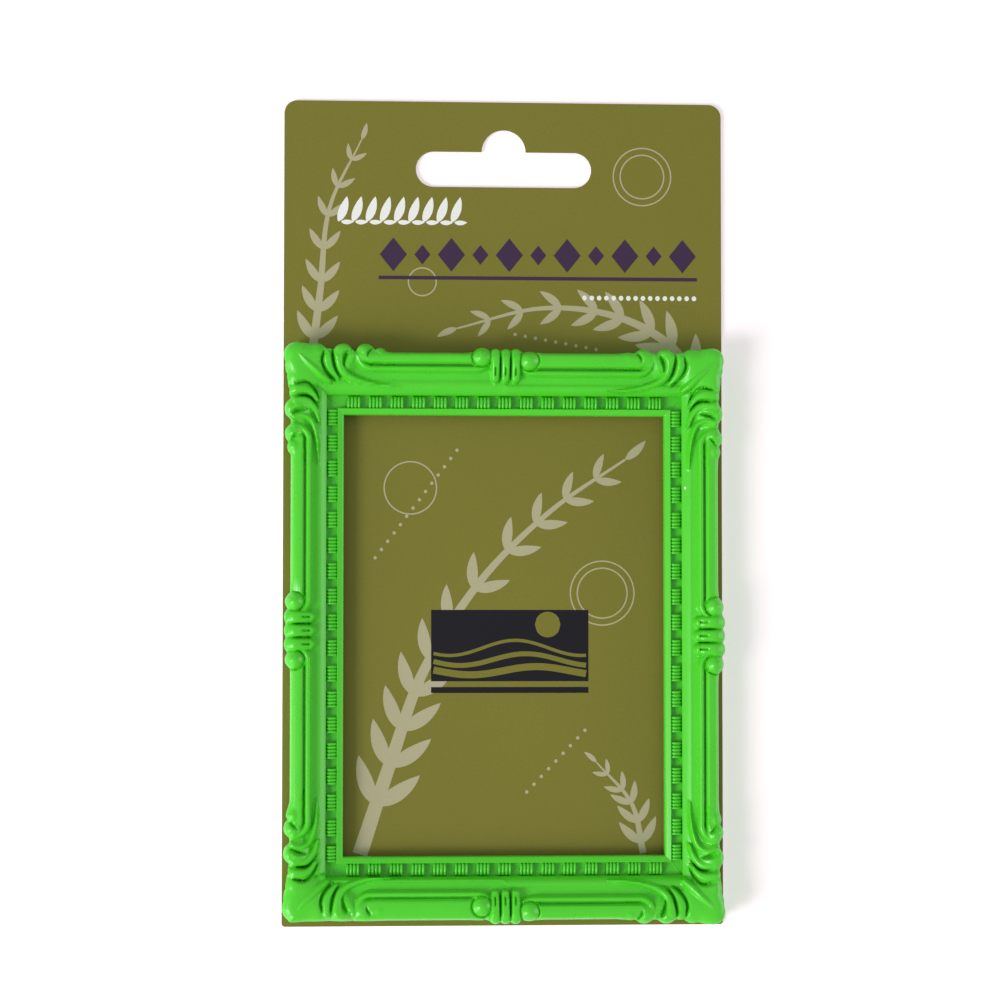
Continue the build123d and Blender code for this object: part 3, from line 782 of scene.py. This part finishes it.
def add_bar(reeds, width, length, top, bevel, turn, place):
    """One bar with its long way across the rail, arched down at both ends and rounded along its sides."""
    bar = bmesh.ops.create_cube(reeds, size=1.0)["verts"]
    bmesh.ops.scale(reeds, verts=bar, vec=(width * MM, length * MM, (top - REED_BOTTOM) * MM))
    bmesh.ops.translate(reeds, verts=bar, vec=(0, 0, (top + REED_BOTTOM) / 2 * MM))
    bar = round_off(reeds, bar, lambda a, b: a.co.x * b.co.x < 0 and abs(a.co.z - b.co.z) < 1e-6,
                    END_ROUND, 3)
    bar = round_off(reeds, bar, lambda a, b: a.co.x * b.co.x > 0, bevel, 2)
    bmesh.ops.rotate(reeds, verts=bar, cent=(0, 0, 0), matrix=Matrix.Rotation(turn, 3, "Z"))
    bmesh.ops.translate(reeds, verts=bar, vec=Vector((MIDDLE_X, MIDDLE_Y, BACK_Z)) * MM + Vector(place) * MM)


def add_block(reeds, plan, along, turn):
    """One block: its base plate and its ribs. The turn brings it from the top rail to its own."""
    near, far = plan["reach"]
    ribs, pitch = plan["ribs"], plan["rib_pitch"]
    away = Matrix.Rotation(turn, 3, "Z")
    place = away @ Vector((along, (near + far) / 2, 0))
    add_bar(reeds, (ribs - 1) * pitch + REED_WIDTH, far - near, BASE_TOP, BASE_BEVEL, turn, place)
    for rib in range(ribs):
        place = away @ Vector((along + (rib - (ribs - 1) / 2) * pitch, (near + far) / 2, 0))
        add_bar(reeds, REED_WIDTH, far - near, REED_TOP, REED_BEVEL, turn, place)


reeds = bmesh.new()
for plan, turns in ((END_REEDS, (0, pi)), (SIDE_REEDS, (pi / 2, -pi / 2))):
    for turn in turns:
        for block in range(plan["blocks"]):
            add_block(reeds, plan, (block - (plan["blocks"] - 1) / 2) * plan["block_pitch"], turn)
finish_piece("reeds", reeds, "frame", plastic, 50)

# %% [markdown]
# ## Ribs and magnet sockets on the back
# The moulding is hollow behind, like most moulded parts, so that it cools without sinking. Cross
# ribs stiffen the hollow, and at each corner a round boss holds the magnet in its pocket. A boss
# starts as the circle of the pocket: its edge is drawn out to the boss's own rim, and both loops are
# then drawn up and closed.

# %% Ribs and sockets
RIB_THICK, RIB_FOOT = 1.2, 0.4
END_RIBS = (-9.53, 9.53)
SIDE_RIBS = (-20.1, 0.0, 20.1)
BOSS, SOCKET_SEGMENTS, ROOF_Z = 3.75, 32, 3.4
RIB_OVERLAP, RIB_BEVEL = 0.2, 0.2
POCKET_PLAY, POCKET_RIM, POCKET_ROOF = 0.05, 0.08, 0.06


def add_rib(ribs, inner, outer, turn, along):
    """One cross rib from the inner to the outer wall; its top follows the sloping ceiling."""
    bar = bmesh.ops.create_cube(ribs, size=1.0)["verts"]
    for vertex in bar:
        at_outer = vertex.co.y > 0
        top = HOLLOW_OUTER_Z if at_outer else HOLLOW_INNER_Z
        vertex.co = (vertex.co.x * RIB_THICK * MM, (outer if at_outer else inner) * MM,
                     (BACK_Z + (top + RIB_OVERLAP if vertex.co.z > 0 else RIB_FOOT)) * MM)
    bmesh.ops.translate(ribs, verts=bar, vec=(along * MM, 0, 0))
    bmesh.ops.rotate(ribs, verts=bar, cent=(0, 0, 0), matrix=Matrix.Rotation(turn, 3, "Z"))
    bmesh.ops.translate(ribs, verts=bar, vec=(MIDDLE_X * MM, MIDDLE_Y * MM, 0))
    foot = once(edge for vertex in bar for edge in vertex.link_edges
                if max(end.co.z for end in edge.verts) < (BACK_Z + RIB_FOOT + 0.1) * MM)
    bmesh.ops.bevel(ribs, geom=foot, offset=RIB_BEVEL * MM, offset_type="OFFSET", affect="EDGES",
                    segments=2, profile=0.5, material=-1)


def draw_out(mesh, edges):
    """Extrude edges in place; gives the new corners and the new edges."""
    made = bmesh.ops.extrude_edge_only(mesh, edges=edges)["geom"]
    corners = [item for item in made if isinstance(item, bmesh.types.BMVert)]
    return corners, [item for item in made if isinstance(item, bmesh.types.BMEdge)]


def add_socket(bosses, node):
    """Round boss over one magnet, with the pocket that the magnet sits in."""
    low, high = box_mm(node)
    middle = (low + high) / 2
    radius = (high[0] - low[0]) / 2 + POCKET_PLAY
    rim = bmesh.ops.create_circle(bosses, cap_ends=False, radius=radius * MM, segments=SOCKET_SEGMENTS)["verts"]
    bmesh.ops.translate(bosses, verts=rim, vec=(middle[0] * MM, middle[1] * MM, (BACK_Z + POCKET_RIM) * MM))
    rim_edges = once(edge for vertex in rim for edge in vertex.link_edges)
    outer, outer_edges = draw_out(bosses, rim_edges)
    for vertex in outer:
        off = Vector((vertex.co.x - middle[0] * MM, vertex.co.y - middle[1] * MM))
        off = off * (BOSS * MM / off.length)
        vertex.co.x, vertex.co.y = middle[0] * MM + off.x, middle[1] * MM + off.y
    for edges, rise in ((outer_edges, ROOF_Z), (rim_edges, high[2] - BACK_Z - POCKET_ROOF)):
        corners, roof = draw_out(bosses, edges)
        bmesh.ops.translate(bosses, verts=corners, vec=(0, 0, rise * MM))
        bmesh.ops.holes_fill(bosses, edges=roof, sides=SOCKET_SEGMENTS)


back = bmesh.new()
end_walls = (HALF_WINDOW[1] + REBATE + INNER_WALL / 2, OUTER_Y - WALL / 2)
side_walls = (HALF_WINDOW[0] + REBATE + INNER_WALL / 2, OUTER_X - WALL / 2)
for turn in (0, pi):
    for along in END_RIBS:
        add_rib(back, *end_walls, turn, along)
    for along in SIDE_RIBS:
        add_rib(back, *side_walls, turn + pi / 2, along)
MAGNETS = ("magnet_top_left", "magnet_top_right", "magnet_bottom_left", "magnet_bottom_right")
for node in MAGNETS:
    add_socket(back, node)
bmesh.ops.recalc_face_normals(back, faces=back.faces)
finish_piece("ribs_and_sockets", back, "frame", plastic, 40)

# %% [markdown]
# ## Magnets and adhesive pads
# The magnets are sintered ferrite discs, near black with a fine dull grain. The pads are white foam
# tape. Both solids have the right shape already, so they only get their finish.

# %% Finishes of the magnets and the pads


def ferrite():
    """Pressed and sintered ferrite."""
    material, tree, shader = new_material("ferrite")
    tone = add_mottle(tree, linear(44, 44, 47), linear(74, 73, 76), 400.0, 5000.0, 0.6)
    add_specks(tree, shader, tone, linear(120, 120, 124), 2500.0, 0.25, 0.08)
    vary_roughness(tree, shader, tone, 0.5, 0.75)
    add_bump(tree, shader, tone, "Value", 0.3, 0.00005)
    return material


def foam_tape():
    """White closed-cell foam tape."""
    material, tree, shader = new_material("foam_tape")
    tone = add_mottle(tree, linear(214, 212, 204), linear(238, 237, 231), 150.0, 6000.0, 0.5)
    where = add_node(tree, "ShaderNodeTexCoord")
    cells = add_node(tree, "ShaderNodeTexVoronoi", {"Scale": 5000.0})
    join(tree, where, "Object", cells, "Vector")
    join(tree, tone, "Color", shader, "Base Color")
    add_bump(tree, shader, cells, "Distance", 0.4, 0.00005)
    shader.inputs["Roughness"].default_value = 0.85
    return material


def finish_node(name, material):
    """Finish on a solid that keeps its shape."""
    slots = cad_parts[name].data.materials
    slots.clear()
    slots.append(material)


magnet_finish = ferrite()
pad_finish = foam_tape()
PADS = ("pad_top", "pad_bottom", "pad_left", "pad_right")
for node in MAGNETS:
    finish_node(node, magnet_finish)
for node in PADS:
    finish_node(node, pad_finish)
print("finished", len(MAGNETS), "magnets and", len(PADS), "pads")

# %% [markdown]
# ## Card
# The card is white board, printed olive on its front and cut out with a die, so its edges and its
# back stay pale. Height tells the two apart: ink lies only on the highest hundredth of a millimetre.
# The olive is a halftone, which shows as a fine speckle, and the sheet has a faint sheen.

# %% Printed board
OLIVE_DARK, OLIVE_LIGHT = linear(110, 106, 36), linear(132, 128, 50)
BOARD_DARK, BOARD_LIGHT = linear(226, 220, 205), linear(242, 238, 228)
INKED, PAPER_SHEEN = 0.01, 0.25


def printed_board():
    """Board with olive ink on its front."""
    material, tree, shader = new_material("printed_board")
    ink = add_mottle(tree, OLIVE_DARK, OLIVE_LIGHT, 25.0, 3600.0, 0.7)
    board = add_mottle(tree, BOARD_DARK, BOARD_LIGHT, 40.0, 2500.0, 0.5)
    where = add_node(tree, "ShaderNodeTexCoord")
    height = add_node(tree, "ShaderNodeSeparateXYZ")
    on_front = add_node(tree, "ShaderNodeMath", {1: (CARD_FRONT - INKED) * MM}, operation="GREATER_THAN")
    colour = add_node(tree, "ShaderNodeMix", data_type="RGBA")
    join(tree, where, "Object", height, "Vector")
    join(tree, height, "Z", on_front, 0)
    join(tree, on_front, 0, colour, "Factor")
    join(tree, board, "Color", colour, "A")
    join(tree, ink, "Color", colour, "B")
    join(tree, colour, "Result", shader, "Base Color")
    vary_roughness(tree, shader, ink, 0.42, 0.6)
    add_bump(tree, shader, ink, "Value", 0.08, 0.00005)
    shader.inputs["Specular IOR Level"].default_value = PAPER_SHEEN
    return material


finish_node("header_card", printed_board())
print("card is", np.round(card_high - card_low, 2), "mm")

# %% [markdown]
# ## Print on the card
# Over the olive lie three more inks: a pale one for leafy sprigs, white and purple for a border, and
# a near black one. Each printed shape is a ribbon, a grid one face wide that follows a smooth line
# and swells and tapers on the way, and is as thin as ink. A leaf is a short ribbon.

# %% Inks and ribbons
INK = 0.008
LEAF_SPREAD = 48
PALE, WHITE, PURPLE = (178, 172, 138), (240, 240, 236), (62, 42, 72)
NAVY, OLIVE = (18, 17, 27), (121, 117, 43)


def ink_material(name, colour):
    """One printing ink, a little uneven."""
    material, tree, shader = new_material(name)
    dark = linear(*[0.94 * value for value in colour])
    light = linear(*[min(255, 1.04 * value) for value in colour])
    tone = add_mottle(tree, dark, light, 120.0, 4200.0, 0.75)
    join(tree, tone, "Color", shader, "Base Color")
    vary_roughness(tree, shader, tone, 0.45, 0.6)
    shader.inputs["Specular IOR Level"].default_value = PAPER_SHEEN
    return material


def ribbon(sheet, line, half_widths, layer=1):
    """Ribbon of ink along a line of points, with a half width for each point."""
    line = np.array(line, float)
    run = np.gradient(line, axis=0)
    across = np.stack([-run[:, 1], run[:, 0]], axis=1) / np.linalg.norm(run, axis=1)[:, None]
    count = len(line)
    grid = bmesh.ops.create_grid(sheet, x_segments=count - 1, y_segments=1, size=0.5)["verts"]
    for vertex in grid:
        step = round((vertex.co.x + 0.5) * (count - 1))
        place = line[step] + across[step] * half_widths[step] * (2 * vertex.co.y)
        vertex.co = (place[0] * MM, place[1] * MM, (CARD_FRONT - INK / 2) * MM)
    faces = once(face for vertex in grid for face in vertex.link_faces)
    raised = bmesh.ops.extrude_face_region(sheet, geom=faces, use_keep_orig=True)["geom"]
    bmesh.ops.translate(sheet, verts=[item for item in raised if isinstance(item, bmesh.types.BMVert)],
                        vec=(0, 0, (layer + 0.5) * INK * MM))


def finish_print(name, sheet, material):
    """Printed shapes of one ink as a piece on the card."""
    bmesh.ops.recalc_face_normals(sheet, faces=sheet.faces)
    return finish_piece(name, sheet, "card", material)


def leaf(sheet, foot, heading, length, width, bend=0.15, layer=1.4):
    """Almond leaf from its foot, pointing along a heading in degrees."""
    t = np.linspace(0, 1, 11)
    turn = radians(heading)
    ahead = np.array([cos(turn), sin(turn)])
    beside = np.array([-ahead[1], ahead[0]])
    line = np.array(foot) + np.outer(t * length, ahead) + np.outer(bend * length * t ** 2, beside)
    ribbon(sheet, line, width / 2 * np.sin(pi * t ** 0.85) ** 0.8 + 0.01, layer)


def sprig(sheet, points, thick, thin, leaves, leaf_length):
    """Tapering stem with pairs of leaves that grow smaller towards its tip."""
    line = flowing([(*point, 0, 0) for point in points], 10)[:, :2]
    ribbon(sheet, line, np.linspace(thick, thin, len(line)))
    for share in np.linspace(0.12, 0.94, leaves):
        step = int(share * (len(line) - 2))
        run = line[step + 1] - line[step]
        heading = np.degrees(np.arctan2(run[1], run[0]))
        size = leaf_length * (1 - 0.55 * share)
        for way in (1, -1):
            leaf(sheet, line[step], heading + way * LEAF_SPREAD, size, size * 0.3, -0.18 * way, 1.7 + 0.3 * way)
    run = line[-1] - line[-2]
    leaf(sheet, line[-1], np.degrees(np.arctan2(run[1], run[0])), leaf_length * 0.5, leaf_length * 0.15)


def ring(sheet, middle, radius, thick, layer=2.3):
    """Thin printed ring."""
    turn = np.linspace(0, 2 * pi, 41)
    line = np.array(middle) + radius * np.stack([np.cos(turn), np.sin(turn)], axis=1)
    ribbon(sheet, line, np.full(41, thick), layer)


def dots(sheet, start, end, count, radius, layer=2.6):
    """Row of printed dots."""
    for place in np.linspace(start, end, count):
        off = np.linspace(-radius, radius, 9)
        half_widths = np.sqrt(np.maximum(radius ** 2 - off ** 2, 1e-6))
        ribbon(sheet, place + off[:, None] * np.array([[1.0, 0.0]]), half_widths, layer)


print("inks ready")

# %% [markdown]
# The pale ink prints four sprigs behind everything: a long one climbs through the window from its
# lower left and a short one stands at its lower right, and two more lie in the header. A few rings and
# dots fill the space round them.

# %% Pale sprigs
pale = bmesh.new()
sprig(pale, ((-24.5, -58.5), (-19.0, -42.0), (-13.5, -27.0), (-4.0, -12.0), (8.0, 0.0), (21.0, 9.0)),
      1.3, 0.2, 11, 9.5)
sprig(pale, ((35.0, 20.0), (28.5, 29.0), (18.5, 34.0), (6.0, 35.0), (-8.0, 31.5)), 1.0, 0.15, 8, 7.5)
sprig(pale, ((24.0, -58.5), (22.0, -50.0), (16.0, -43.0)), 0.6, 0.12, 5, 5.5)
sprig(pale, ((-33.0, 26.0), (-31.5, 38.0), (-30.0, 52.0), (-24.5, 64.0)), 0.8, 0.12, 7, 6.0)
for middle, radius in (((17.0, -14.0), 5.5), ((17.0, -14.0), 4.3), ((-16.0, 4.0), 4.5), ((24.0, 58.0), 5.0),
                       ((24.0, 58.0), 3.8), ((-14.0, 39.5), 2.4)):
    ring(pale, middle, radius, 0.12)
for start, end, count in (((-22.0, -8.0), (-8.0, 10.5), 14), ((4.0, -48.0), (14.0, -37.5), 9),
                          ((2.0, 30.5), (16.0, 28.0), 9)):
    dots(pale, start, end, count, 0.3)
finish_print("pale_print", pale, ink_material("pale_ink", PALE))

# %% [markdown]
# The border in the header is a row of white leaves, and below it purple lozenges on a thin line with
# small white dots at the end.

# %% Border
white = bmesh.new()
for place in np.linspace(-28.5, -9.0, 9):
    leaf(white, (place, 49.8), 62, 4.6, 1.5, layer=3.0)
    leaf(white, (place + 0.5, 49.8), -8, 2.2, 0.8, layer=3.3)
dots(white, (14.0, 36.9), (33.0, 36.9), 16, 0.42, layer=3.0)
finish_print("white_print", white, ink_material("white_ink", WHITE))
purple = bmesh.new()
for order, place in enumerate(np.linspace(-19.0, 31.0, 11)):
    size = 2.9 if order % 2 == 0 else 1.7
    line = np.stack([np.linspace(place - size * 0.8, place + size * 0.8, 3), np.full(3, 44.2)], axis=1)
    ribbon(purple, line, (0.02, size, 0.02), layer=4)
ribbon(purple, ((-21.5, 40.2), (6.0, 40.2), (33.5, 40.2)), (0.3, 0.3, 0.3), layer=4)
finish_print("purple_print", purple, ink_material("purple_ink", PURPLE))

# %% [markdown]
# In the window a dark block shows hills under a low sun. The block is one ribbon; the hills and the
# sun are ribbons of the card's olive, one layer of ink higher.

# %% Block in the window
navy = bmesh.new()
ribbon(navy, ((-12.4, -23.0), (1.1, -23.0), (14.6, -23.0)), (6.1, 6.1, 6.1), layer=4)
ribbon(navy, ((-12.4, -30.6), (1.1, -30.6), (14.6, -30.6)), (0.5, 0.5, 0.5), layer=4)
finish_print("navy_print", navy, ink_material("navy_ink", NAVY))
olive = bmesh.new()
hill_x = np.linspace(-12.0, 14.2, 40)
for level, swell, shift, thick in ((-27.3, 0.7, 0.0, 0.6), (-25.4, 1.0, 0.5, 0.42), (-23.4, 1.3, 1.0, 0.28)):
    line = np.stack([hill_x, level + swell * np.sin(hill_x / 3.6 + shift)], axis=1)
    ribbon(olive, line, np.full(40, thick), layer=5)
sun_x = np.linspace(-2.2, 2.2, 15)
ribbon(olive, np.stack([7.6 + sun_x, np.full(15, -19.4)], axis=1),
       np.sqrt(np.maximum(2.2 ** 2 - sun_x ** 2, 1e-6)), layer=5)
finish_print("olive_print", olive, ink_material("olive_ink", OLIVE))

# %% [markdown]
# ## Lights and floor
# The photograph has a white table in a bright room, and most of its light comes from the left and
# from below. The world gives the room. One area lamp casts the soft shadow, a low one at the left
# and a wide one at the right light the edges, and together they light a level surface about as
# brightly as its colour is written.

# %% Lights and floor
FLOOR_SIZE = 2.0
TABLE_LIFT = 0.25
LAMPS = {
    "window_light": {"place": (-0.66, -0.33, 0.67), "size": 0.33, "power": 5.0},
    "low_light": {"place": (-0.85, -0.5, 0.28), "size": 0.6, "power": 3.4},
    "far_wall": {"place": (0.97, 0.05, 0.2), "size": 0.6, "power": 3.0},
}
ROOM_LEVEL = 0.51


def floor_material():
    """White table top, a little brighter to the camera and in mirrored light."""
    material, tree, shader = new_material("white_table")
    tone = add_mottle(tree, linear(249, 238, 243), linear(253, 242, 247), 3.0, 40.0, 0.1)
    seen = add_node(tree, "ShaderNodeLightPath")
    shown = add_node(tree, "ShaderNodeMath", operation="ADD", use_clamp=True)
    lift = add_node(tree, "ShaderNodeMath", {1: TABLE_LIFT}, operation="MULTIPLY")
    join(tree, tone, "Color", shader, "Base Color")
    join(tree, seen, "Is Camera Ray", shown, 0)
    join(tree, seen, "Is Glossy Ray", shown, 1)
    join(tree, shown, 0, lift, 0)
    join(tree, lift, 0, shader, "Emission Strength")
    shader.inputs["Emission Color"].default_value = (1, 1, 1, 1)
    shader.inputs["Roughness"].default_value = 0.9
    shader.inputs["Specular IOR Level"].default_value = 0.0
    return material


sheet = bmesh.new()
bmesh.ops.create_grid(sheet, x_segments=1, y_segments=1, size=FLOOR_SIZE)
bmesh.ops.translate(sheet, verts=sheet.verts, vec=(0, 0, (card_low[2] - 0.2) * MM))
floor_mesh = bpy.data.meshes.new("table_top")
sheet.to_mesh(floor_mesh)
sheet.free()
floor_mesh.materials.append(floor_material())
floor = bpy.data.objects.new("table_top", floor_mesh)
bpy.context.scene.collection.objects.link(floor)

for name, plan in LAMPS.items():
    lamp = bpy.data.objects.new(name, bpy.data.lights.new(name, "AREA"))
    lamp.data.energy = plan["power"]
    lamp.data.size = plan["size"]
    lamp.location = plan["place"]
    lamp.rotation_euler = Vector(plan["place"]).to_track_quat("Z", "Y").to_euler()
    bpy.context.scene.collection.objects.link(lamp)

world = bpy.data.worlds.new("room")
bpy.context.scene.world = world
world.use_nodes = True
world.node_tree.nodes["Background"].inputs["Color"].default_value = (1, 1, 1, 1)
world.node_tree.nodes["Background"].inputs["Strength"].default_value = ROOM_LEVEL
bpy.context.scene.view_settings.view_transform = "Standard"
print("lamps:", len(LAMPS), "room", ROOM_LEVEL)
